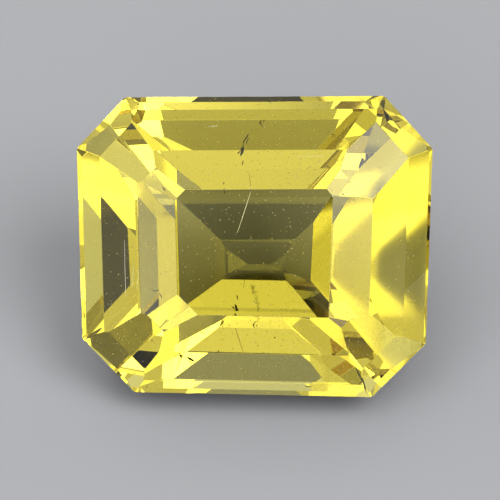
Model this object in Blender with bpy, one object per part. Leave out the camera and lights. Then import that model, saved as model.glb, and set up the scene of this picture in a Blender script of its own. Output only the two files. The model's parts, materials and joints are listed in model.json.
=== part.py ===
"""A cut stone: a yellow scapolite in a step cut with cut corners.

The stone is made as a cutter makes it. A rough block loses everything outside one plane for each
facet, first the girdle, then the crown up to the table, then the pavilion down to the keel. The
finished stone is laid on a large pavilion facet, so that the table faces up and towards -Y.
"""

import math
from typing import NamedTuple

import bmesh
import bpy
from mathutils import Matrix, Vector

MM = 0.001

# Driving dimensions
GIRDLE_THICKNESS = 0.24 * MM
TABLE_HEIGHT = 2.01 * MM
ROUGH_SIDE = 30.0 * MM
SAME_POINT = 0.0002 * MM


class Facet(NamedTuple):
    """How far a facet runs inward in the plan, in millimetres, and its slope from the girdle in degrees."""

    run: float
    slope: float


class Side(NamedTuple):
    """One of the outline's eight sides: its bearing, its distance from the axis, and its facets.

    The bearing is in degrees, with east at 0 and north at 90. The crown's facets go up from the
    girdle and the pavilion's go down from it. The last crown facet reaches the table, so it has
    only a run. The last pavilion facet runs on to the keel, so it has only a slope.
    """

    bearing: float
    reach: float
    crown: tuple
    crown_top_run: float
    pavilion: tuple
    keel_slope: float


# The cutting sheet
SIDES = {
    "north": Side(
        bearing=90.3,
        reach=4.62,
        crown=(Facet(0.41, 46), Facet(1.27, 35.5)),
        crown_top_run=1.21,
        pavilion=(Facet(0.92, 64.5), Facet(2.18, 38.5), Facet(1.32, 36.75)),
        keel_slope=22,
    ),
    "northeast": Side(
        bearing=42.4,
        reach=6.11,
        crown=(Facet(0.76, 43.5), Facet(1.83, 26)),
        crown_top_run=0.71,
        pavilion=(Facet(1.02, 62), Facet(2.48, 38), Facet(1.80, 32.5)),
        keel_slope=29,
    ),
    "east": Side(
        bearing=-2.0,
        reach=5.42,
        crown=(Facet(0.74, 44), Facet(1.08, 37.5)),
        crown_top_run=1.24,
        pavilion=(Facet(0.42, 59), Facet(3.16, 48.25), Facet(0.84, 35.5)),
        keel_slope=15,
    ),
    "southeast": Side(
        bearing=-45.2,
        reach=5.89,
        crown=(Facet(0.84, 46.5), Facet(1.39, 31)),
        crown_top_run=0.51,
        pavilion=(Facet(1.04, 63.5), Facet(3.08, 37.5), Facet(0.52, 35.25)),
        keel_slope=26.5,
    ),
    "south": Side(
        bearing=-91.2,
        reach=4.60,
        crown=(Facet(0.39, 53), Facet(0.90, 39)),
        crown_top_run=1.16,
        pavilion=(Facet(0.62, 69), Facet(0.64, 49.25), Facet(2.28, 45.25)),
        keel_slope=31.5,
    ),
    "southwest": Side(
        bearing=224.3,
        reach=5.80,
        crown=(Facet(0.74, 47), Facet(1.24, 32.5)),
        crown_top_run=1.11,
        pavilion=(Facet(1.06, 67), Facet(3.22, 34.5), Facet(0.48, 32)),
        keel_slope=27.5,
    ),
    "west": Side(
        bearing=181.6,
        reach=5.39,
        crown=(Facet(0.71, 44.5), Facet(1.15, 35.5)),
        crown_top_run=1.15,
        pavilion=(Facet(0.68, 64), Facet(2.34, 44.25), Facet(1.46, 36.25)),
        keel_slope=17,
    ),
    "northwest": Side(
        bearing=136.5,
        reach=6.06,
        crown=(Facet(0.72, 44.5), Facet(1.49, 30)),
        crown_top_run=1.14,
        pavilion=(Facet(1.16, 64.5), Facet(1.62, 34.5), Facet(2.58, 29)),
        keel_slope=23.5,
    ),
}

# The stone lies on this facet of its pavilion
RESTING_SIDE = "south"
RESTING_FACET = 2


def facet_plane(side, distance, height, slope, upward):
    """Return a point on a facet's plane and the plane's outward normal."""
    bearing = math.radians(side.bearing)
    outward = Vector((math.cos(bearing), math.sin(bearing), 0.0))
    tilt = math.radians(slope)
    rise = Vector((0.0, 0.0, 1.0 if upward else -1.0))
    point = outward * distance + Vector((0.0, 0.0, height))
    return point, outward * math.sin(tilt) + rise * math.cos(tilt)


def crown_planes(side):
    """Return the planes of one side's crown facets, from the girdle up."""
    distance = side.reach * MM
    height = GIRDLE_THICKNESS / 2
    planes = []
    for facet in side.crown:
        planes.append(facet_plane(side, distance, height, facet.slope, True))
        distance -= facet.run * MM
        height += facet.run * MM * math.tan(math.radians(facet.slope))
    climb_left = TABLE_HEIGHT - height
    top_slope = math.degrees(math.atan2(climb_left, side.crown_top_run * MM))
    planes.append(facet_plane(side, distance, height, top_slope, True))
    return planes


def pavilion_planes(side):
    """Return the planes of one side's pavilion facets, from the girdle down to the keel."""
    distance = side.reach * MM
    height = -GIRDLE_THICKNESS / 2
    planes = []
    for facet in side.pavilion:
        planes.append(facet_plane(side, distance, height, facet.slope, False))
        distance -= facet.run * MM
        height -= facet.run * MM * math.tan(math.radians(facet.slope))
    planes.append(facet_plane(side, distance, height, side.keel_slope, False))
    return planes


def cut(stone, plane):
    """Take off everything outside one plane and close the stone with the new facet."""
    point, normal = plane
    everything = stone.verts[:] + stone.edges[:] + stone.faces[:]
    result = bmesh.ops.bisect_plane(
        stone,
        geom=everything,
        plane_co=point,
        plane_no=normal,
        dist=SAME_POINT,
        clear_outer=True,
    )
    rim = [item for item in result["geom_cut"] if isinstance(item, bmesh.types.BMEdge)]
    if len(rim) > 2:
        bmesh.ops.contextual_create(stone, geom=rim)


def cut_stone():
    """Cut the whole stone, table level and keel down, around its own axis."""
    stone = bmesh.new()
    bmesh.ops.create_cube(stone, size=ROUGH_SIDE)
    for side in SIDES.values():
        cut(stone, facet_plane(side, side.reach * MM, 0.0, 90, True))
    cut(stone, (Vector((0.0, 0.0, TABLE_HEIGHT)), Vector((0.0, 0.0, 1.0))))
    for side in SIDES.values():
        for plane in crown_planes(side) + pavilion_planes(side):
            cut(stone, plane)
    bmesh.ops.remove_doubles(stone, verts=stone.verts, dist=SAME_POINT)
    bmesh.ops.recalc_face_normals(stone, faces=stone.faces)
    return stone


def lay_down(stone):
    """Turn the stone onto its resting facet and set the origin below its middle."""
    normal = pavilion_planes(SIDES[RESTING_SIDE])[RESTING_FACET][1]
    side = SIDES[RESTING_SIDE]
    straighten = Matrix.Rotation(math.radians(-90 - side.bearing), 4, "Z")
    tip = Matrix.Rotation(math.acos(-normal.z), 4, "X")
    bmesh.ops.transform(stone, matrix=tip @ straighten, verts=stone.verts)
    lowest, highest = (
        Vector([choose(vert.co[axis] for vert in stone.verts) for axis in range(3)]) for choose in (min, max)
    )
    middle = (lowest + highest) / 2
    bmesh.ops.translate(stone, vec=(-middle.x, -middle.y, -lowest.z), verts=stone.verts)


def scapolite():
    """Return the stone's material: clear, polished and yellow."""
    material = bpy.data.materials.new("scapolite")
    material.use_nodes = True
    surface = material.node_tree.nodes["Principled BSDF"]
    surface.inputs["Base Color"].default_value = (0.86, 0.76, 0.16, 1.0)
    surface.inputs["Roughness"].default_value = 0.02
    surface.inputs["Metallic"].default_value = 0.0
    surface.inputs["IOR"].default_value = 1.56
    surface.inputs["Transmission Weight"].default_value = 1.0
    return material


def build():
    """Make the one object."""
    for item in list(bpy.data.objects):
        bpy.data.objects.remove(item)
    stone = cut_stone()
    lay_down(stone)
    mesh = bpy.data.meshes.new("cut_stone")
    stone.to_mesh(mesh)
    stone.free()
    mesh.materials.append(scapolite())
    bpy.context.scene.collection.objects.link(bpy.data.objects.new("cut_stone", mesh))


build()
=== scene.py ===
"""Looks of a cut stone: a clear yellow scapolite in a step cut, lying on a facet of its pavilion."""

import json
import math
import random

import bmesh
import bpy
from mathutils import Matrix, Vector, noise
from mathutils.bvhtree import BVHTree


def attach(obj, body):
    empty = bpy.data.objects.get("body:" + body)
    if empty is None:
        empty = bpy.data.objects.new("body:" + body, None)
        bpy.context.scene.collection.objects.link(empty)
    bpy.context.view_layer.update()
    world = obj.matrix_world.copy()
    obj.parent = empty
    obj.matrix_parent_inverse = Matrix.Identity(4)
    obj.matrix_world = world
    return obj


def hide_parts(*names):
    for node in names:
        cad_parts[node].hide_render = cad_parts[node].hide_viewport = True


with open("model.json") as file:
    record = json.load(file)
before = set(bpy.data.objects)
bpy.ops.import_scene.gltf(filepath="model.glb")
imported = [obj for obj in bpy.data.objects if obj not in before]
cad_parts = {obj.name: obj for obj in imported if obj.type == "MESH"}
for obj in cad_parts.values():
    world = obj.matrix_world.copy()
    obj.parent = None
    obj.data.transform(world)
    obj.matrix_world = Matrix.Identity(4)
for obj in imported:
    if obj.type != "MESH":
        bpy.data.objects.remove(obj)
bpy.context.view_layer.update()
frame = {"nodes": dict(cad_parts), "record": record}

MM = 0.001
stage = bpy.context.scene
place = stage.collection.objects.link

# The camera looks straight down at the table, as the photograph does, from the far end of a long
# lens. Its picture is 500 pixels wide, and the stone's outline sits a little off the middle of it.
PICTURE_PIXELS = 500
PIXEL_SIZE = 0.030942 * MM
OUTLINE_MIDDLE_PIXEL = (254.75, 246.5)
LENS = 400.0
SENSOR = 36.0
PHOTO_ROLL = math.radians(1.2)
CROWN_HEIGHT = 2.01 * MM
NEAREST_SEEN = 1 * MM
FARTHEST_SEEN = 5.0

mounts = {mount["name"]: mount for mount in frame["record"]["mounts"]}
table_middle = Vector(mounts["table"]["pos_m"])
towards_camera = Vector(mounts["table"]["axis"]).normalized()
level_right = Vector((1.0, 0.0, 0.0))
picture_roll = Matrix.Rotation(PHOTO_ROLL, 3, towards_camera)
picture_right = picture_roll @ level_right
picture_up = towards_camera.cross(picture_right)

solid = frame["nodes"]["cut_stone"]
across = [vertex.co.dot(picture_right) for vertex in solid.data.vertices]
along = [vertex.co.dot(picture_up) for vertex in solid.data.vertices]
outline_right = (min(across) + max(across)) / 2
outline_up = (min(along) + max(along)) / 2
aim_right = outline_right - (OUTLINE_MIDDLE_PIXEL[0] - PICTURE_PIXELS / 2) * PIXEL_SIZE
aim_up = outline_up + (OUTLINE_MIDDLE_PIXEL[1] - PICTURE_PIXELS / 2) * PIXEL_SIZE
girdle_height = table_middle.dot(towards_camera) - CROWN_HEIGHT
camera_distance = PICTURE_PIXELS * PIXEL_SIZE * LENS / SENSOR

camera_lens = bpy.data.cameras.new("camera")
camera_lens.lens = LENS
camera_lens.sensor_width = SENSOR
camera_lens.clip_start = NEAREST_SEEN
camera_lens.clip_end = FARTHEST_SEEN
camera = bpy.data.objects.new("camera", camera_lens)
turned = Matrix((picture_right, picture_up, towards_camera)).transposed()
eye = (
    picture_right * aim_right
    + picture_up * aim_up
    + towards_camera * (girdle_height + camera_distance)
)
camera.matrix_world = Matrix.Translation(eye) @ turned.to_4x4()
place(camera)
stage.camera = camera

# The floor is a plain pale sheet, a film of air below the stone, so that the resting facet still
# mirrors as it does in air.
FLOOR_HALF = 400 * MM
AIR_FILM = 0.02 * MM
FLOOR_COLOUR = (0.36, 0.36, 0.37, 1.0)
FLOOR_ROUGHNESS = 0.9
FLOOR_SPECULAR = 0.2

floor_mesh = bpy.data.meshes.new("floor")
floor_corners = [(x * FLOOR_HALF, y * FLOOR_HALF, -AIR_FILM) for x, y in ((-1, -1), (1, -1), (1, 1), (-1, 1))]
floor_mesh.from_pydata(floor_corners, [], [(0, 1, 2, 3)])
floor_paper = bpy.data.materials.new("floor_paper")
floor_paper.use_nodes = True
paper = floor_paper.node_tree.nodes["Principled BSDF"]
paper.inputs["Base Color"].default_value = FLOOR_COLOUR
paper.inputs["Roughness"].default_value = FLOOR_ROUGHNESS
paper.inputs["Specular IOR Level"].default_value = FLOOR_SPECULAR
floor_mesh.materials.append(floor_paper)
floor = bpy.data.objects.new("floor", floor_mesh)
place(floor)

# The light is a pale dome that is bright on the camera's side and fades out behind the stone and
# along the horizon. Dark cards in it keep some facets dark, and soft lights in it brighten others.
# Most of their places were found by a search for the photograph's pattern, and rounded.
DOME_FRONT = 0.82
DOME_BACK = 0.01
DOME_EDGE = -0.22
DOME_BLEND = 0.35
DOME_COLOUR = (0.98, 0.99, 1.0, 1.0)
HORIZON = (-0.02, 0.1)
SOFT_RIM = 2.0
CLEAR_BOUNCES = 32
DULL_BOUNCES = 3

dome = bpy.data.worlds.new("dome")
dome.use_nodes = True
dome_nodes = dome.node_tree.nodes
dome_links = dome.node_tree.links
dome_light = dome_nodes["Background"]
dome_light.inputs["Color"].default_value = DOME_COLOUR
dome_direction = dome_nodes.new("ShaderNodeTexCoord")
full_strength = dome_nodes.new("ShaderNodeValue")
full_strength.outputs["Value"].default_value = 1.0
dome_links.new(full_strength.outputs["Value"], dome_light.inputs["Strength"])
stage.world = dome


def shape_dome(label, operation, direction, cosines, values):
    """Change the dome's strength by a value that passes from one to another towards a direction."""
    facing = dome_nodes.new("ShaderNodeVectorMath")
    facing.operation = "DOT_PRODUCT"
    facing.inputs[1].default_value = direction
    value = dome_nodes.new("ShaderNodeMapRange")
    value.label = label
    value.interpolation_type = "SMOOTHSTEP"
    value.inputs["From Min"].default_value, value.inputs["From Max"].default_value = cosines
    value.inputs["To Min"].default_value, value.inputs["To Max"].default_value = values
    changed = dome_nodes.new("ShaderNodeMath")
    changed.operation = operation
    strength = dome_light.inputs["Strength"]
    dome_links.new(strength.links[0].from_socket, changed.inputs[0])
    dome_links.new(dome_direction.outputs["Generated"], facing.inputs[0])
    dome_links.new(facing.outputs["Value"], value.inputs["Value"])
    dome_links.new(value.outputs["Result"], changed.inputs[1])
    dome_links.new(changed.outputs["Value"], strength)


def round_patch(label, from_camera, position, half_angle, operation, values):
    """Change the dome in a round patch with a soft rim.

    Its middle stands so many degrees off the camera's line, at a position round it with right at 0
    and up at 90, and it is so many degrees wide from its middle to its rim.
    """
    aside = math.sin(math.radians(from_camera))
    direction = (
        picture_right * aside * math.cos(math.radians(position))
        + picture_up * aside * math.sin(math.radians(position))
        + towards_camera * math.cos(math.radians(from_camera))
    )
    outside = math.cos(math.radians(half_angle + SOFT_RIM))
    inside = math.cos(math.radians(half_angle - SOFT_RIM))
    shape_dome(label, operation, direction, (outside, inside), values)


def dark_card(label, from_camera, position, half_angle, share_left):
    """Leave only a share of the dome's light in a round patch."""
    round_patch(label, from_camera, position, half_angle, "MULTIPLY", (1.0, share_left))


def soft_light(label, from_camera, position, half_angle, radiance):
    """Brighten the dome in a round patch."""
    round_patch(label, from_camera, position, half_angle, "ADD", (0.0, radiance))


facing_edge = (DOME_EDGE - DOME_BLEND, DOME_EDGE + DOME_BLEND)
shape_dome("front", "MULTIPLY", towards_camera, facing_edge, (DOME_BACK, DOME_FRONT))
shape_dome("horizon", "MULTIPLY", (0.0, 0.0, 1.0), HORIZON, (0.0, 1.0))
dark_card("camera", 9, -49, 11, 0.0)
dark_card("far left", 94, 169, 13, 0.0)
dark_card("far right", 73, 13, 15, 0.0)
dark_card("above camera", 28, 85, 9, 0.6)
dark_card("above right", 70, 52, 17, 0.0)
dark_card("above far", 67, 88, 9, 0.5)
soft_light("light by the camera", 11, 100, 7, 0.2)
soft_light("small low light", 15, -118, 8, 2.2)
soft_light("low light", 80, -82, 56, 1.6)
soft_light("low left light", 32, -120, 12, 1.0)
soft_light("left light", 39, -163, 15, 1.3)
soft_light("upper left light", 36, 122, 21, 1.35)
soft_light("upper right light", 36, 35, 20, 3.6)
soft_light("right light", 19, 24, 12, 0.9)
soft_light("back light", 80, 95, 7, 1.0)

stage.view_settings.view_transform = "Standard"
stage.cycles.max_bounces = CLEAR_BOUNCES
stage.cycles.glossy_bounces = CLEAR_BOUNCES
stage.cycles.transmission_bounces = CLEAR_BOUNCES
stage.cycles.diffuse_bounces = DULL_BOUNCES
stage.cycles.caustics_refractive = False
stage.cycles.caustics_reflective = False

# The stone: one clear yellow crystal, cut and polished. It is the solid's own shape, with its loose
# triangles joined into facets. Polishing has barely rounded the arrises, more on the crown than
# below, and the girdle is left ground, with a wavy rim and the nicks that handling gave it.
SAME_POINT = 0.0005 * MM
FLAT_ANGLE = math.radians(0.3)
CROWN_ARRIS = (0.010 * MM, 0.018 * MM)
PAVILION_ARRIS = (0.006 * MM, 0.011 * MM)
ARRIS_SEED = 11
SQUARE_TO_TABLE = 0.02
GIRDLE_STEP = 0.07 * MM
GIRDLE_ROWS = 4
CORNER_RADIUS = 0.28 * MM
CORNER_CUTS = (0.2, 0.5, 0.8)
RIM_WAVE = 0.010 * MM
RIM_WAVE_LENGTH = 0.35 * MM
RIM_WAVE_MIDDLE = 0.6
RIPPLE_SHARE = 0.5
RIPPLES_TO_A_WAVE = 3.1
NICK_SHALLOWEST = 0.75
NICK_ROUGHNESS = 0.5
NICK_GRAIN = 0.05 * MM
GRIND_DEPTH = 0.006 * MM
GRIND_GRAIN = 0.06 * MM
YELLOW = (0.92, 0.868, 0.19, 1.0)
YELLOW_DENSITY = 240.0
REFRACTION = 1.56
WORN = 1.0
GROUND = 2.0

# Each nick's place right of and above the stone's axis as seen in the photograph, its reach along
# the rim and its depth, and whether it opens towards the crown.
RIM_NICKS = (
    (-5.36, -2.02, 0.16, 0.075, True),
    (-5.20, -2.75, 0.30, 0.110, True),
    (-5.46, 1.30, 0.10, 0.040, True),
    (-1.70, -4.60, 0.20, 0.060, True),
    (3.30, -4.70, 0.14, 0.060, False),
    (4.05, 4.15, 0.12, 0.050, True),
    (5.40, 1.90, 0.10, 0.045, False),
    (2.10, 4.62, 0.09, 0.035, True),
    (-2.90, 4.60, 0.12, 0.045, False),
)

axis_point = picture_right * outline_right + picture_up * outline_up


def photo_place(right, up, depth=0.0):
    """Return the point right of and above the stone's axis, and so far below the girdle's middle."""
    return picture_right * right + picture_up * up + towards_camera * (girdle_height - depth) + axis_point


def cut_away(body, point, normal):
    """Take off everything outside one plane and return the new facet."""
    everything = body.verts[:] + body.edges[:] + body.faces[:]
    result = bmesh.ops.bisect_plane(
        body, geom=everything, plane_co=point, plane_no=normal, dist=SAME_POINT / 10, clear_outer=True
    )
    rim = [item for item in result["geom_cut"] if isinstance(item, bmesh.types.BMEdge) and item.is_boundary]
    if len(rim) < 3:
        return []
    return bmesh.ops.contextual_create(body, geom=rim)["faces"]


def is_girdle(face):
    """Say whether a face stands square to the table, as only the girdle's do."""
    return abs(face.normal.dot(towards_camera)) < SQUARE_TO_TABLE


def round_arrises(body, finish, seed):
    """Cut a narrow flat along each arris outside the girdle."""
    chance = random.Random(seed)
    flats = []
    for edge in body.edges:
        first, second = edge.link_faces
        if GROUND in (first[finish], second[finish]):
            continue
        turn = first.normal.angle(second.normal)
        middle = (edge.verts[0].co + edge.verts[1].co) / 2
        on_crown = middle.dot(towards_camera) > girdle_height
        width = chance.uniform(*(CROWN_ARRIS if on_crown else PAVILION_ARRIS))
        outward = (first.normal + second.normal).normalized()
        flats.append((middle - outward * (width / 2 * math.tan(turn / 2)), outward))
    for point, outward in flats:
        for face in cut_away(body, point, outward):
            face[finish] = WORN


def round_corners(body):
    """Round the girdle's upright corners with three narrow cuts each."""
    cuts = []
    for edge in body.edges:
        if not all(is_girdle(face) for face in edge.link_faces):
            continue
        first, second = (face.normal.copy() for face in edge.link_faces)
        outward = (first + second).normalized()
        centre = edge.verts[0].co - outward * (CORNER_RADIUS / outward.dot(first))
        for share in CORNER_CUTS:
            normal = first.lerp(second, share).normalized()
            cuts.append((centre + normal * CORNER_RADIUS, normal))
    for point, normal in cuts:
        cut_away(body, point, normal)


def split_rim(edges, steps, along):
    """Halve a rim's longest edge until it has so many steps, and return its vertices in order."""
    pieces = list(edges)
    while len(pieces) < steps:
        longest = max(pieces, key=lambda piece: piece.calc_length())
        pieces.append(bmesh.utils.edge_split(longest, longest.verts[0], 0.5)[0])
    vertices = {vertex for piece in pieces for vertex in piece.verts}
    return sorted(vertices, key=lambda vertex: vertex.co.dot(along))


def rim_wear(place_on_rim, opens_to_crown):
    """Return how far the rim is worn back at a place: a wavy line, and the nicks."""
    wave = noise.noise(place_on_rim / RIM_WAVE_LENGTH)
    wave += RIPPLE_SHARE * noise.noise(place_on_rim / RIM_WAVE_LENGTH * RIPPLES_TO_A_WAVE)
    worn = RIM_WAVE * max(0.0, RIM_WAVE_MIDDLE + wave)
    for right, up, reach, depth, crown_side in RIM_NICKS:
        aside = place_on_rim - photo_place(right * MM, up * MM)
        gap = (aside - towards_camera * aside.dot(towards_camera)).length / (reach * MM)
        if crown_side == opens_to_crown and gap < 1.0:
            ragged = NICK_SHALLOWEST + NICK_ROUGHNESS * noise.noise(place_on_rim / NICK_GRAIN)
            worn += depth * MM * math.sqrt(1.0 - gap * gap) * ragged
    return worn


def wear_girdle(body, finish):
    """Rebuild the girdle's walls as a fine grid with a ground skin and a worn rim."""
    walls = [face for face in body.faces if is_girdle(face)]
    corners = [edge for edge in body.edges if all(face in walls for face in edge.link_faces)]
    plans = []
    for wall in walls:
        rims = [[], []]
        facets = [None, None]
        for edge in wall.edges:
            if edge not in corners:
                below = int(edge.verts[0].co.dot(towards_camera) < girdle_height)
                rims[below].append(edge)
                facets[below] = next(face for face in edge.link_faces if face not in walls).normal.copy()
        plans.append((wall.normal.copy(), rims, facets))
    for wall in walls:
        body.faces.remove(wall)
    for edge in corners:
        body.edges.remove(edge)
    corner_lines = {}
    for outward, rims, facets in plans:
        along = towards_camera.cross(outward)
        one_piece = len(rims[0]) == len(rims[1]) == 1
        halvings = round(math.log2(rims[0][0].calc_length() / GIRDLE_STEP)) if one_piece else 0
        steps = max(2**halvings, len(rims[0]), len(rims[1]))
        rows = [split_rim(edges, steps, along) for edges in rims]
        for line, facet, crown_side in zip(rows, facets, (True, False)):
            inward = (facet * outward.dot(facet) - outward).normalized()
            for vertex in line[1:-1] if one_piece else ():
                vertex.co += inward * rim_wear(vertex.co, crown_side)
        columns = []
        for number, (top, bottom) in enumerate(zip(*rows)):
            at_corner = number in (0, steps)
            column = corner_lines.get(top) if at_corner else None
            if column is None:
                column = [top]
                for row in range(1, GIRDLE_ROWS):
                    point = top.co.lerp(bottom.co, row / GIRDLE_ROWS)
                    depth = 0.0 if at_corner else GRIND_DEPTH * (0.5 + noise.noise(point / GRIND_GRAIN))
                    column.append(body.verts.new(point - outward * depth))
                column.append(bottom)
            if at_corner:
                corner_lines[top] = column
            columns.append(column)
        for left, right in zip(columns, columns[1:]):
            for row in range(GIRDLE_ROWS):
                patch = body.faces.new((left[row], left[row + 1], right[row + 1], right[row]))
                patch[finish] = GROUND


stone = bmesh.new()
stone.from_mesh(solid.data)
bmesh.ops.remove_doubles(stone, verts=stone.verts, dist=SAME_POINT)
bmesh.ops.dissolve_limit(stone, angle_limit=FLAT_ANGLE, verts=stone.verts, edges=stone.edges)
finish = stone.faces.layers.float.new("finish")
round_corners(stone)
wear_girdle(stone, finish)
bmesh.ops.recalc_face_normals(stone, faces=stone.faces)
round_arrises(stone, finish, ARRIS_SEED)
open_edges = [edge for edge in stone.edges if len(edge.link_faces) != 2]
if open_edges:
    raise ValueError(f"the stone has {len(open_edges)} open edges")
stone_mesh = bpy.data.meshes.new("cut_scapolite")
stone.to_mesh(stone_mesh)
stone.free()

# Its faces are clear and polished, with sparse hairlines that the wheel left, barely dulled arrises
# and a ground girdle. The colour is in the body of the crystal, so it deepens along the light's way.
HAIRLINE_SPACING = 0.11 * MM
HAIRLINE_STRETCH = 40.0
HAIRLINE_BAND = (0.70, 0.76)
HAIRLINE_DETAIL = 3.0
HAIRLINE_ROUGHNESS = 0.09
WORN_ROUGHNESS = 0.14
GROUND_ROUGHNESS = 0.42
GROUND_GRAIN = 0.025 * MM
GROUND_RELIEF = 0.6
GROUND_HEIGHT = GROUND_GRAIN / 4
GROUND_DETAIL = 2.0
FINISH_GAP = 0.2

crystal = bpy.data.materials.new("clear_yellow_scapolite")
crystal.use_nodes = True
crystal_nodes = crystal.node_tree.nodes
crystal_links = crystal.node_tree.links
surface = crystal_nodes["Principled BSDF"]
surface.inputs["Base Color"].default_value = (1.0, 1.0, 1.0, 1.0)
surface.inputs["IOR"].default_value = REFRACTION
surface.inputs["Transmission Weight"].default_value = 1.0
absorption = crystal_nodes.new("ShaderNodeVolumeAbsorption")
absorption.inputs["Color"].default_value = YELLOW
absorption.inputs["Density"].default_value = YELLOW_DENSITY
crystal_links.new(absorption.outputs["Volume"], crystal_nodes["Material Output"].inputs["Volume"])

in_stone = crystal_nodes.new("ShaderNodeTexCoord")
wheel = crystal_nodes.new("ShaderNodeMapping")
wheel.inputs["Rotation"].default_value = (towards_camera.angle(Vector((0.0, 0.0, 1.0))), 0.0, 0.0)
wheel.inputs["Scale"].default_value = (1.0, 1.0 / HAIRLINE_STRETCH, 1.0)
hairline_noise = crystal_nodes.new("ShaderNodeTexNoise")
hairline_noise.inputs["Scale"].default_value = 1.0 / HAIRLINE_SPACING
hairline_noise.inputs["Detail"].default_value = HAIRLINE_DETAIL
hairlines = crystal_nodes.new("ShaderNodeMapRange")
hairlines.inputs["From Min"].default_value, hairlines.inputs["From Max"].default_value = HAIRLINE_BAND
hairlines.inputs["To Max"].default_value = HAIRLINE_ROUGHNESS
crystal_links.new(in_stone.outputs["Object"], wheel.inputs["Vector"])
crystal_links.new(wheel.outputs["Vector"], hairline_noise.inputs["Vector"])
crystal_links.new(hairline_noise.outputs["Fac"], hairlines.inputs["Value"])

finish_mark = crystal_nodes.new("ShaderNodeAttribute")
finish_mark.attribute_name = "finish"
worn = crystal_nodes.new("ShaderNodeMath")
worn.operation = "COMPARE"
worn.inputs[1].default_value = WORN
worn.inputs[2].default_value = FINISH_GAP
ground = crystal_nodes.new("ShaderNodeMath")
ground.operation = "COMPARE"
ground.inputs[1].default_value = GROUND
ground.inputs[2].default_value = FINISH_GAP
worn_part = crystal_nodes.new("ShaderNodeMath")
worn_part.operation = "MULTIPLY_ADD"
worn_part.inputs[1].default_value = WORN_ROUGHNESS
ground_part = crystal_nodes.new("ShaderNodeMath")
ground_part.operation = "MULTIPLY_ADD"
ground_part.inputs[1].default_value = GROUND_ROUGHNESS
crystal_links.new(finish_mark.outputs["Fac"], worn.inputs[0])
crystal_links.new(finish_mark.outputs["Fac"], ground.inputs[0])
crystal_links.new(worn.outputs["Value"], worn_part.inputs[0])
crystal_links.new(hairlines.outputs["Result"], worn_part.inputs[2])
crystal_links.new(ground.outputs["Value"], ground_part.inputs[0])
crystal_links.new(worn_part.outputs["Value"], ground_part.inputs[2])
crystal_links.new(ground_part.outputs["Value"], surface.inputs["Roughness"])

ground_noise = crystal_nodes.new("ShaderNodeTexNoise")
ground_noise.inputs["Scale"].default_value = 1.0 / GROUND_GRAIN
ground_noise.inputs["Detail"].default_value = GROUND_DETAIL
ground_height = crystal_nodes.new("ShaderNodeMath")
ground_height.operation = "MULTIPLY"
ground_bump = crystal_nodes.new("ShaderNodeBump")
ground_bump.inputs["Strength"].default_value = GROUND_RELIEF
ground_bump.inputs["Distance"].default_value = GROUND_HEIGHT
crystal_links.new(in_stone.outputs["Object"], ground_noise.inputs["Vector"])
crystal_links.new(ground_noise.outputs["Fac"], ground_height.inputs[0])
crystal_links.new(ground.outputs["Value"], ground_height.inputs[1])
crystal_links.new(ground_height.outputs["Value"], ground_bump.inputs["Height"])
crystal_links.new(ground_bump.outputs["Normal"], surface.inputs["Normal"])
stone_mesh.materials.append(crystal)

cut_scapolite = bpy.data.objects.new("cut_scapolite", stone_mesh)
place(cut_scapolite)
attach(cut_scapolite, "root")
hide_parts("cut_stone")

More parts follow.
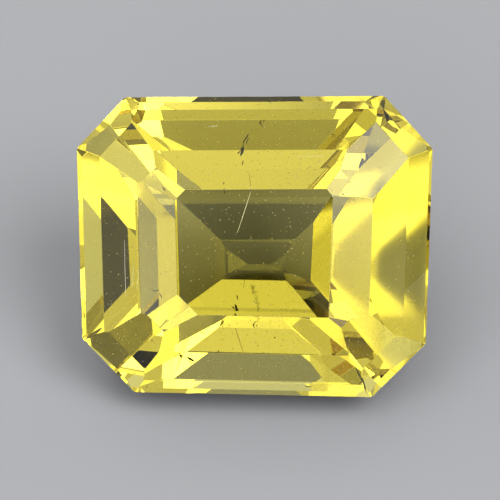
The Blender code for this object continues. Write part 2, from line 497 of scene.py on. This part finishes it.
# The growth needles: fine crystals that the scapolite grew round. Most are dark and broken, and one
# long hollow tube is pale. The streak shadow is no crystal but a painted shadow: a thin dark sheet in
# the needles' dark material, put where the streak's shadow falls. Each station is its place right of
# and above the stone's axis as the camera sees it, its depth below the facet there, and the needle's
# half width, in millimetres.
NEEDLE_SIDES = 6
NEEDLE_WOBBLE = 0.25
NEEDLE_KNOB = 0.04 * MM
MOTTLE_DETAIL = 4.0
DARK_NEEDLES_AND_PAINTED_SHADOW = {
    "streak": (
        (-0.19, 3.49, 0.55, 0.008),
        (-0.25, 3.38, 0.56, 0.020),
        (-0.33, 3.27, 0.57, 0.018),
        (-0.36, 3.17, 0.58, 0.008),
        (-0.35, 3.08, 0.59, 0.020),
        (-0.37, 2.97, 0.60, 0.044),
        (-0.41, 2.87, 0.61, 0.036),
        (-0.44, 2.80, 0.62, 0.010),
    ),
    "streak beside": ((-0.19, 3.36, 0.60, 0.006), (-0.24, 3.25, 0.62, 0.013), (-0.27, 3.16, 0.63, 0.007)),
    # A painted shadow: a dark sheet put where the streak's shadow falls.
    "streak shadow": ((-0.40, 3.10, 0.66, 0.005), (-0.43, 3.02, 0.66, 0.012), (-0.46, 2.94, 0.66, 0.007)),
    "spur": ((-0.53, 2.88, 0.60, 0.010), (-0.50, 2.90, 0.60, 0.024), (-0.46, 2.94, 0.61, 0.012)),
    "tube's dark end": ((-0.18, 2.28, 0.90, 0.004), (-0.15, 2.05, 0.93, 0.006), (-0.13, 1.83, 0.96, 0.004)),
    "crumb": ((-0.36, 2.66, 0.66, 0.010), (-0.37, 2.59, 0.67, 0.018), (-0.39, 2.52, 0.68, 0.010)),
    "splinter": (
        (0.20, 3.92, 0.42, 0.010),
        (0.16, 3.84, 0.44, 0.024),
        (0.19, 3.78, 0.46, 0.016),
        (0.26, 3.70, 0.47, 0.008),
    ),
    "splinter beside": ((0.30, 3.90, 0.44, 0.006), (0.27, 3.86, 0.45, 0.012), (0.24, 3.82, 0.46, 0.006)),
    "grain at the girdle": ((0.46, 4.56, 0.25, 0.006), (0.47, 4.50, 0.26, 0.014), (0.46, 4.43, 0.27, 0.006)),
    "upper grain": ((-0.95, 1.99, 0.50, 0.008), (-0.96, 1.96, 0.51, 0.018), (-0.96, 1.92, 0.52, 0.009)),
    "lower grain": ((-0.93, 1.72, 0.50, 0.009), (-0.94, 1.68, 0.51, 0.020), (-0.94, 1.65, 0.52, 0.010)),
    "left grain": ((-2.86, 1.84, 0.40, 0.010), (-2.80, 1.77, 0.41, 0.022), (-2.78, 1.72, 0.42, 0.010)),
    "right grain": ((2.70, 1.66, 0.45, 0.016), (2.74, 1.61, 0.46, 0.026), (2.79, 1.58, 0.47, 0.012)),
    "corner grain": ((3.66, -3.78, 0.35, 0.008), (3.69, -3.80, 0.35, 0.018), (3.72, -3.82, 0.35, 0.009)),
}
PALE_TUBE = (
    (-0.12, 1.71, 1.05, 0.006),
    (-0.25, 1.30, 1.12, 0.011),
    (-0.40, 0.84, 1.20, 0.011),
    (-0.54, 0.42, 1.27, 0.005),
)

stone_tree = BVHTree.FromPolygons(
    [vertex.co.copy() for vertex in stone_mesh.vertices],
    [tuple(face.vertices) for face in stone_mesh.polygons],
)


def seen_inside(right, up, depth):
    """Return the point so deep inside the stone that the camera sees right of and above its axis."""
    aim = photo_place(right * MM, up * MM)
    sight = (aim - eye).normalized()
    entry, normal = stone_tree.ray_cast(eye, sight)[:2]
    facing = -sight.dot(normal)
    bent = math.sqrt(1.0 - (1.0 - facing * facing) / REFRACTION**2)
    inner_sight = sight / REFRACTION + normal * (facing / REFRACTION - bent)
    return entry + inner_sight * depth * MM


def grow_needle(body, stations, flatness=1.0):
    """Add one closed, slightly knobbly needle through its stations."""
    path = [seen_inside(*station[:3]) for station in stations]
    along = (path[-1] - path[0]).normalized()
    aside = towards_camera.cross(along).normalized()
    deeper = along.cross(aside)
    rings = []
    for centre, station in zip(path, stations):
        radius = station[3] * MM
        ring = []
        for side in range(NEEDLE_SIDES):
            angle = math.tau * side / NEEDLE_SIDES
            knob = 1.0 + NEEDLE_WOBBLE * noise.noise(centre / NEEDLE_KNOB + Vector((side, 0.0, 0.0)))
            spoke = aside * math.cos(angle) * flatness + deeper * math.sin(angle)
            ring.append(body.verts.new(centre + spoke * radius * knob))
        rings.append(ring)
    tips = [
        body.verts.new(path[0] - along * stations[0][3] * MM),
        body.verts.new(path[-1] + along * stations[-1][3] * MM),
    ]
    for near, far in zip(rings, rings[1:]):
        for side in range(NEEDLE_SIDES):
            after = (side + 1) % NEEDLE_SIDES
            body.faces.new((near[side], near[after], far[after], far[side]))
    for side in range(NEEDLE_SIDES):
        after = (side + 1) % NEEDLE_SIDES
        body.faces.new((tips[0], rings[0][after], rings[0][side]))
        body.faces.new((tips[1], rings[-1][side], rings[-1][after]))


def inclusion(name, body, material):
    """Make a piece of the stone from a closed mesh."""
    bmesh.ops.recalc_face_normals(body, faces=body.faces)
    mesh = bpy.data.meshes.new(name)
    body.to_mesh(mesh)
    body.free()
    mesh.materials.append(material)
    piece = bpy.data.objects.new(name, mesh)
    place(piece)
    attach(piece, "root")


def mottled(name, dark, light, grain, roughness, lustre=0.0):
    """Return a mineral's material, mottled between two colours, with a dull or a bright lustre."""
    material = bpy.data.materials.new(name)
    material.use_nodes = True
    nodes = material.node_tree.nodes
    links = material.node_tree.links
    where = nodes.new("ShaderNodeTexCoord")
    mottle = nodes.new("ShaderNodeTexNoise")
    mottle.inputs["Scale"].default_value = 1.0 / grain
    mottle.inputs["Detail"].default_value = MOTTLE_DETAIL
    colours = nodes.new("ShaderNodeMix")
    colours.data_type = "RGBA"
    colours.inputs["A"].default_value = dark
    colours.inputs["B"].default_value = light
    shader = nodes["Principled BSDF"]
    shader.inputs["Roughness"].default_value = roughness
    shader.inputs["Metallic"].default_value = lustre
    links.new(where.outputs["Object"], mottle.inputs["Vector"])
    links.new(mottle.outputs["Fac"], colours.inputs["Factor"])
    links.new(colours.outputs["Result"], shader.inputs["Base Color"])
    return material


dark_needles_and_painted_shadow = bmesh.new()
for stations in DARK_NEEDLES_AND_PAINTED_SHADOW.values():
    grow_needle(dark_needles_and_painted_shadow, stations)
# The dark needles' material, which also paints the streak's shadow.
dark_mineral_and_painted_shadow = mottled(
    "dark_mineral_and_painted_shadow",
    dark=(0.02, 0.012, 0.004, 1.0),
    light=(0.09, 0.05, 0.015, 1.0),
    grain=0.03 * MM,
    roughness=0.45,
)
inclusion("dark_needles_and_painted_shadow", dark_needles_and_painted_shadow, dark_mineral_and_painted_shadow)

pale_tube = bmesh.new()
grow_needle(pale_tube, PALE_TUBE)
tube_filling = mottled(
    "tube_filling",
    dark=(0.85, 0.82, 0.60, 1.0),
    light=(1.0, 1.0, 0.95, 1.0),
    grain=0.05 * MM,
    roughness=0.35,
    lustre=1.0,
)
inclusion("pale_tube", pale_tube, tube_filling)

# The feathers: small old cracks that reach in from the girdle and the arrises, stained brown; the
# widest, at the left girdle, is only a dark brown sheet there. They are thin curved sheets, so they are
# grown like the needles but flattened on edge.
FEATHER_FLATNESS = 0.35
FEATHERS = {
    "corner crack": (
        (3.47, -4.54, 0.05, 0.020),
        (3.40, -4.38, 0.08, 0.045),
        (3.32, -4.15, 0.12, 0.060),
        (3.22, -3.95, 0.16, 0.085),
        (3.14, -3.78, 0.20, 0.050),
    ),
    "bottom curl": ((-1.78, -4.22, 0.10, 0.012), (-1.84, -4.30, 0.10, 0.030), (-1.90, -4.40, 0.10, 0.022)),
    "bottom line": ((-3.28, -4.27, 0.08, 0.008), (-3.33, -4.33, 0.08, 0.022), (-3.40, -4.41, 0.08, 0.012)),
    "bottom lens": ((1.54, -4.31, 0.08, 0.012), (1.66, -4.34, 0.08, 0.050), (1.78, -4.32, 0.08, 0.014)),
    # A dark brown sheet in from the left girdle.
    "left girdle dark sheet": (
        (-5.22, -2.86, 0.06, 0.040),
        (-5.12, -2.79, 0.08, 0.130),
        (-4.98, -2.70, 0.10, 0.170),
        (-4.84, -2.60, 0.12, 0.110),
        (-4.74, -2.53, 0.12, 0.040),
    ),
    "left rim crack": ((-5.29, -2.02, 0.04, 0.020), (-5.28, -2.12, 0.05, 0.050), (-5.27, -2.22, 0.05, 0.020)),
    "arris bruise": ((-3.22, -1.32, 0.05, 0.014), (-3.10, -1.38, 0.06, 0.045), (-2.95, -1.36, 0.06, 0.020)),
    "arris bruise below": (
        (-2.98, -1.44, 0.06, 0.012),
        (-2.90, -1.52, 0.08, 0.055),
        (-2.88, -1.62, 0.08, 0.016),
    ),
}

feathers = bmesh.new()
for stations in FEATHERS.values():
    grow_needle(feathers, stations, FEATHER_FLATNESS)
# The feathers' brown: the stain in the cracks, and the colour of the dark sheet at the left girdle.
iron_stain_and_dark_sheet = mottled(
    "iron_stain_and_dark_sheet",
    dark=(0.05, 0.035, 0.006, 1.0),
    light=(0.22, 0.16, 0.03, 1.0),
    grain=0.05 * MM,
    roughness=0.35,
)
inclusion("feathers", feathers, iron_stain_and_dark_sheet)

# The smoky wisp: a loose cloud of dark grains that hangs below the lower half of the table. Each knot
# of it has a place as for the needles, and how far it spreads sideways and upward, in millimetres.
WISP_GRAINS = 170
WISP_GRAIN = (0.009 * MM, 0.019 * MM)
SMOKE_COVER = 0.22
WISP_SEED = 21
WISP_DEPTH_SPREAD = 0.1
WISP = (
    (-0.06, -1.27, 1.5, 0.040, 0.05),
    (-0.03, -1.40, 1.5, 0.045, 0.06),
    (0.04, -1.60, 1.6, 0.030, 0.09),
    (0.10, -1.86, 1.7, 0.025, 0.10),
)

chance = random.Random(WISP_SEED)
wisp = bmesh.new()
for number in range(WISP_GRAINS):
    right, up, depth, spread, height = WISP[number % len(WISP)]
    spot = seen_inside(
        chance.gauss(right, spread), chance.gauss(up, height), chance.gauss(depth, WISP_DEPTH_SPREAD)
    )
    bmesh.ops.create_icosphere(
        wisp, subdivisions=1, radius=chance.uniform(*WISP_GRAIN), matrix=Matrix.Translation(spot)
    )
smoke = mottled(
    "smoke",
    dark=(0.05, 0.03, 0.005, 1.0),
    light=(0.16, 0.11, 0.02, 1.0),
    grain=0.05 * MM,
    roughness=0.5,
)
smoke.node_tree.nodes["Principled BSDF"].inputs["Alpha"].default_value = SMOKE_COVER
inclusion("wisp", wisp, smoke)

# The scratches: hairline marks that handling left on the crown. Each is a shallow frosted groove.
SCRATCH_DEPTH = 0.0015
SCRATCHES = {
    "long upright": (
        (-4.03, 0.20, 0.0035),
        (-4.02, -0.55, 0.0050),
        (-4.00, -1.15, 0.0050),
        (-3.99, -1.55, 0.0030),
    ),
    "short upright": ((-3.76, -0.60, 0.0025), (-3.79, -1.25, 0.0035)),
    "leaning": ((-3.58, -0.70, 0.0025), (-3.66, -1.30, 0.0030)),
    "upper left": ((-1.45, 3.71, 0.0030), (-1.15, 3.73, 0.0045)),
    "upper right": ((1.30, 2.78, 0.0025), (2.12, 2.80, 0.0030)),
    "lower left": ((-2.98, -2.30, 0.0030), (-2.96, -2.05, 0.0035)),
    "lower left beside": ((-3.03, -2.33, 0.0025), (-3.04, -2.18, 0.0030)),
}

scratches = bmesh.new()
for stations in SCRATCHES.values():
    grow_needle(scratches, [(right, up, SCRATCH_DEPTH, width) for right, up, width in stations])
frosting = mottled(
    "frosting",
    dark=(0.80, 0.79, 0.62, 1.0),
    light=(1.0, 0.99, 0.90, 1.0),
    grain=0.04 * MM,
    roughness=0.6,
)
inclusion("scratches", scratches, frosting)

# The specks: pinpoint crystals and bubbles scattered through the whole stone, thicker towards its
# corners. Each is a tiny pale grain, seen best against the stone's dark reflections. Few are large.
SPECK_COUNT = 8000
SPECK_SIZES = (0.004 * MM, 0.021 * MM)
SPECK_RARITY = 3.0
CLOUD_EDGE = (0.36, 0.62)
SPECK_MARGIN = 0.15 * MM
SPECK_CLOUD = 2.6 * MM
SPECK_SEED = 4


def speck_tree():
    """Build the node tree that scatters grains inside a closed mesh."""
    tree = bpy.data.node_groups.new("specks", "GeometryNodeTree")
    face = tree.interface
    face.new_socket("Stone", in_out="INPUT", socket_type="NodeSocketGeometry")
    face.new_socket("Specks", in_out="OUTPUT", socket_type="NodeSocketGeometry")
    for label, kind in (
        ("Count", "Int"),
        ("Smallest", "Float"),
        ("Largest", "Float"),
        ("Rarity", "Float"),
        ("Margin", "Float"),
        ("Cloud", "Float"),
        ("Seed", "Int"),
        ("Grain", "Material"),
    ):
        face.new_socket(label, in_out="INPUT", socket_type="NodeSocket" + kind)
    nodes = tree.nodes
    links = tree.links
    given = nodes.new("NodeGroupInput").outputs
    made = nodes.new("NodeGroupOutput").inputs
    box = nodes.new("GeometryNodeBoundBox")
    spot = nodes.new("FunctionNodeRandomValue")
    spot.data_type = "FLOAT_VECTOR"
    points = nodes.new("GeometryNodePoints")
    links.new(given["Stone"], box.inputs["Geometry"])
    links.new(box.outputs["Min"], spot.inputs["Min"])
    links.new(box.outputs["Max"], spot.inputs["Max"])
    links.new(given["Seed"], spot.inputs["Seed"])
    links.new(given["Count"], points.inputs["Count"])
    links.new(spot.outputs["Value"], points.inputs["Position"])

    here = nodes.new("GeometryNodeInputPosition")
    nearest = nodes.new("GeometryNodeProximity")
    nearest.target_element = "FACES"
    outward = nodes.new("GeometryNodeInputNormal")
    facing = nodes.new("GeometryNodeSampleNearestSurface")
    facing.data_type = "FLOAT_VECTOR"
    away = nodes.new("ShaderNodeVectorMath")
    away.operation = "SUBTRACT"
    height = nodes.new("ShaderNodeVectorMath")
    height.operation = "DOT_PRODUCT"
    buried = nodes.new("ShaderNodeMath")
    buried.operation = "ADD"
    links.new(given["Stone"], nearest.inputs["Geometry"])
    links.new(given["Stone"], facing.inputs["Mesh"])
    links.new(outward.outputs["Normal"], facing.inputs["Value"])
    links.new(here.outputs["Position"], away.inputs[0])
    links.new(nearest.outputs["Position"], away.inputs[1])
    links.new(away.outputs["Vector"], height.inputs[0])
    links.new(facing.outputs["Value"], height.inputs[1])
    links.new(height.outputs["Value"], buried.inputs[0])
    links.new(given["Margin"], buried.inputs[1])
    too_high = nodes.new("FunctionNodeCompare")
    too_high.operation = "GREATER_THAN"
    links.new(buried.outputs["Value"], too_high.inputs["A"])

    spread = nodes.new("ShaderNodeVectorMath")
    spread.operation = "SCALE"
    turned_over = nodes.new("ShaderNodeMath")
    turned_over.operation = "DIVIDE"
    turned_over.inputs[0].default_value = 1.0
    cloud = nodes.new("ShaderNodeTexNoise")
    cloud.inputs["Scale"].default_value = 1.0
    thin = nodes.new("FunctionNodeCompare")
    thin.operation = "LESS_THAN"
    chance = nodes.new("FunctionNodeRandomValue")
    chance.inputs["Min"].default_value, chance.inputs["Max"].default_value = CLOUD_EDGE
    links.new(given["Cloud"], turned_over.inputs[1])
    links.new(here.outputs["Position"], spread.inputs[0])
    links.new(turned_over.outputs["Value"], spread.inputs["Scale"])
    links.new(spread.outputs["Vector"], cloud.inputs["Vector"])
    links.new(given["Seed"], chance.inputs["Seed"])
    links.new(cloud.outputs["Fac"], thin.inputs["A"])
    links.new(chance.outputs["Value"], thin.inputs["B"])
    either = nodes.new("FunctionNodeBooleanMath")
    either.operation = "OR"
    links.new(too_high.outputs["Result"], either.inputs[0])
    links.new(thin.outputs["Result"], either.inputs[1])
    kept = nodes.new("GeometryNodeDeleteGeometry")
    links.new(points.outputs["Points"], kept.inputs["Geometry"])
    links.new(either.outputs["Boolean"], kept.inputs["Selection"])

    grain = nodes.new("GeometryNodeMeshIcoSphere")
    grain.inputs["Radius"].default_value = 1.0
    grain.inputs["Subdivisions"].default_value = 1
    share = nodes.new("FunctionNodeRandomValue")
    rarer = nodes.new("ShaderNodeMath")
    rarer.operation = "POWER"
    size = nodes.new("ShaderNodeMapRange")
    turn = nodes.new("FunctionNodeRandomValue")
    turn.data_type = "FLOAT_VECTOR"
    turn.inputs["Max"].default_value = (math.tau, math.tau, math.tau)
    set_grains = nodes.new("GeometryNodeInstanceOnPoints")
    solid_grains = nodes.new("GeometryNodeRealizeInstances")
    finish_grains = nodes.new("GeometryNodeSetMaterial")
    links.new(given["Seed"], share.inputs["Seed"])
    links.new(share.outputs["Value"], rarer.inputs[0])
    links.new(given["Rarity"], rarer.inputs[1])
    links.new(rarer.outputs["Value"], size.inputs["Value"])
    links.new(given["Smallest"], size.inputs["To Min"])
    links.new(given["Largest"], size.inputs["To Max"])
    links.new(kept.outputs["Geometry"], set_grains.inputs["Points"])
    links.new(grain.outputs["Mesh"], set_grains.inputs["Instance"])
    links.new(size.outputs["Result"], set_grains.inputs["Scale"])
    links.new(turn.outputs["Value"], set_grains.inputs["Rotation"])
    links.new(set_grains.outputs["Instances"], solid_grains.inputs["Geometry"])
    links.new(solid_grains.outputs["Geometry"], finish_grains.inputs["Geometry"])
    links.new(given["Grain"], finish_grains.inputs["Material"])
    links.new(finish_grains.outputs["Geometry"], made["Specks"])
    return tree


speck_grain = mottled(
    "speck_grain",
    dark=(0.85, 0.83, 0.70, 1.0),
    light=(1.0, 1.0, 0.95, 1.0),
    grain=0.5 * MM,
    roughness=0.5,
    lustre=1.0,
)
scatter = bpy.data.objects.new("scatter", stone_mesh.copy())
place(scatter)
growing = scatter.modifiers.new("specks", "NODES")
growing.node_group = speck_tree()
settings = {
    "Count": SPECK_COUNT,
    "Smallest": SPECK_SIZES[0],
    "Largest": SPECK_SIZES[1],
    "Rarity": SPECK_RARITY,
    "Margin": SPECK_MARGIN,
    "Cloud": SPECK_CLOUD,
    "Seed": SPECK_SEED,
    "Grain": speck_grain,
}
for socket in growing.node_group.interface.items_tree:
    if socket.name in settings:
        growing[socket.identifier] = settings[socket.name]
grown = bpy.data.meshes.new_from_object(scatter.evaluated_get(bpy.context.evaluated_depsgraph_get()))
bpy.data.objects.remove(scatter)
specks = bpy.data.objects.new("specks", grown)
place(specks)
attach(specks, "root")

# The large grains: the few specks that stand out, each a small pale crystal close under the table.
GRAIN_WOBBLE = 0.3
LARGE_GRAINS = (
    (-0.47, 1.58, 0.55, 0.019),
    (0.34, 1.43, 0.70, 0.020),
    (0.89, 1.14, 0.60, 0.026),
    (-0.79, 1.21, 0.80, 0.017),
    (0.22, 0.96, 0.90, 0.013),
    (-0.79, 0.84, 0.70, 0.017),
    (-1.07, 0.81, 0.60, 0.017),
    (-1.36, 1.14, 0.50, 0.013),
    (1.52, 1.32, 0.55, 0.016),
    (1.65, 1.23, 0.60, 0.014),
    (1.09, 0.62, 0.80, 0.022),
    (1.13, 0.56, 0.85, 0.014),
    (-0.11, 0.26, 1.00, 0.020),
    (-0.16, 0.22, 1.05, 0.013),
    (-1.44, -0.38, 0.60, 0.018),
    (-2.24, -0.12, 0.45, 0.020),
    (-2.15, -0.63, 0.50, 0.019),
    (-2.21, -0.80, 0.50, 0.015),
    (-2.07, 0.78, 0.50, 0.015),
    (1.25, -0.90, 0.80, 0.022),
    (1.15, -0.06, 0.90, 0.020),
    (1.31, -0.42, 0.85, 0.013),
    (-1.33, -0.93, 0.90, 0.018),
)

large_grains = bmesh.new()
for right, up, depth, radius in LARGE_GRAINS:
    spot = seen_inside(right, up, depth)
    made = bmesh.ops.create_icosphere(
        large_grains, subdivisions=2, radius=radius * MM, matrix=Matrix.Translation(spot)
    )
    for vertex in made["verts"]:
        vertex.co = spot + (vertex.co - spot) * (1.0 + GRAIN_WOBBLE * noise.noise(vertex.co / (radius * MM)))
inclusion("large_grains", large_grains, speck_grain)
